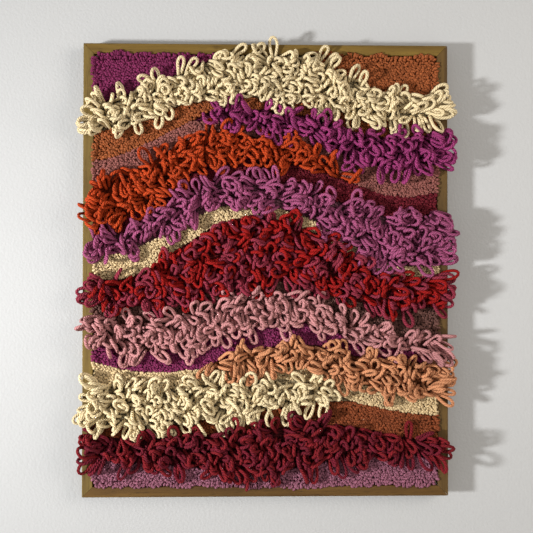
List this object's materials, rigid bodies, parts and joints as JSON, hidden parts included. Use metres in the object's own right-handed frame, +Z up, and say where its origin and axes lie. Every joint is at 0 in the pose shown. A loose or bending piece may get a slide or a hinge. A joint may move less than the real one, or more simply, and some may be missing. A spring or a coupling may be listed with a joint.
{
  "type": "framed punch needle wall piece",
  "caption": "Upright rectangular wall piece: wavy bands of short and long looped wool pile punched through a cloth, held in a slim wooden frame.",
  "frame": {"origin": "middle of the top rail's back face, which lies on the wall", "axes": "+X to the right as the front is seen, +Y into the wall, +Z up; the pile faces -Y"},
  "size_m": [0.5325, 0.0529, 0.6544],
  "materials": {
    "oak": "oiled, open grain",
    "canvas": "matte weave",
    "mauve": "matte wool loops",
    "wine": "matte wool loops",
    "rust": "matte wool loops",
    "cream": "matte wool loops",
    "beige": "matte wool loops",
    "copper": "matte wool loops",
    "plum": "matte wool loops",
    "rose": "matte wool loops",
    "cocoa": "matte wool loops",
    "cherry": "matte wool loops",
    "orange": "matte wool loops",
    "ochre": "matte wool loops"
  },
  "bodies": {
    "root": {"rail_top": "oak", "rail_right": "oak", "rail_bottom": "oak", "rail_left": "oak", "foundation_cloth": "canvas", "ground_mauve": "mauve", "shag_wine": "wine", "ground_rust": "rust", "shag_cream_low": "cream", "ground_sand": "beige", "shag_copper": "copper", "ground_plum_low": "plum", "shag_rose": "rose", "ground_cocoa": "cocoa", "shag_cherry": "cherry", "ground_beige": "beige", "shag_mauve": "mauve", "ground_wine": "wine", "shag_orange": "orange", "ground_rose": "rose", "shag_plum": "plum", "ground_ochre_low": "ochre", "shag_cream_high": "cream", "ground_ochre_high": "ochre", "ground_plum_high": "plum"}
  },
  "joints": []
}
